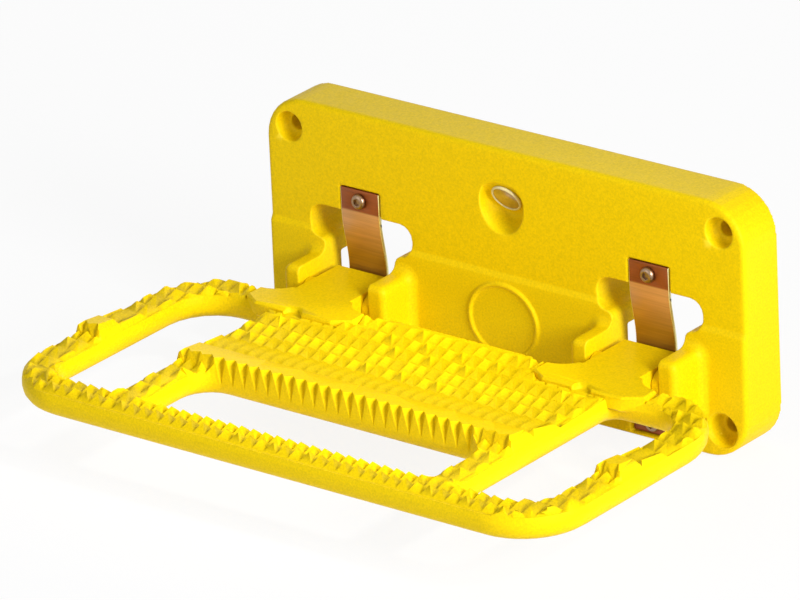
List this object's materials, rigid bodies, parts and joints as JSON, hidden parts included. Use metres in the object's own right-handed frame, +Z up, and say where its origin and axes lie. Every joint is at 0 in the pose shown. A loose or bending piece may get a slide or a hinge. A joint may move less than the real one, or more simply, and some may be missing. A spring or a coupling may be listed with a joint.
{
  "type": "ladder rack step",
  "caption": "Fold-down step: a cast plate for a wall or vehicle body, a hinged open tread with a toothed top, leaf springs that hold it up or level, and a lamp that shines down on the tread.",
  "frame": {"origin": "Centre of the flat back face of the plate, where it lies on the wall.", "axes": "+X along the plate and the tread, their long way. +Y into the wall, -Y out over the tread. +Z up."},
  "size_m": [0.2918, 0.1928, 0.116],
  "materials": {
    "paint": "fine-grained yellow powder coat on cast aluminium",
    "zinc": "zinc plated steel",
    "nylon": "black moulded nylon",
    "spring": "copper-brown tempered spring steel",
    "screw": "bright steel with a warm cast",
    "rim": "pale grey moulded plastic",
    "lens": "smoked olive lens",
    "board": "white circuit board"
  },
  "bodies": {
    "plate": {"base_plate": "paint", "hinge_pin_left": "zinc", "hinge_pin_right": "zinc", "hinge_bush_left_a": "nylon", "hinge_bush_left_b": "nylon", "hinge_bush_right_a": "nylon", "hinge_bush_right_b": "nylon", "leaf_spring_left": "spring", "leaf_spring_right": "spring", "spring_screw_left_upper": "screw", "spring_screw_left_lower": "screw", "spring_screw_right_upper": "screw", "spring_screw_right_lower": "screw", "lamp_bezel": "rim", "lamp_lens": "lens", "lamp_board": "board", "lamp_body": "nylon"},
    "tread": {"tread": "paint"}
  },
  "joints": [
    {"name": "tread_fold", "type": "hinge", "parent": "plate", "child": "tread", "pos_m": [0, -0.0385, -0.0228], "axis": [-1, 0, 0], "range_deg": [0, 90]}
  ]
}
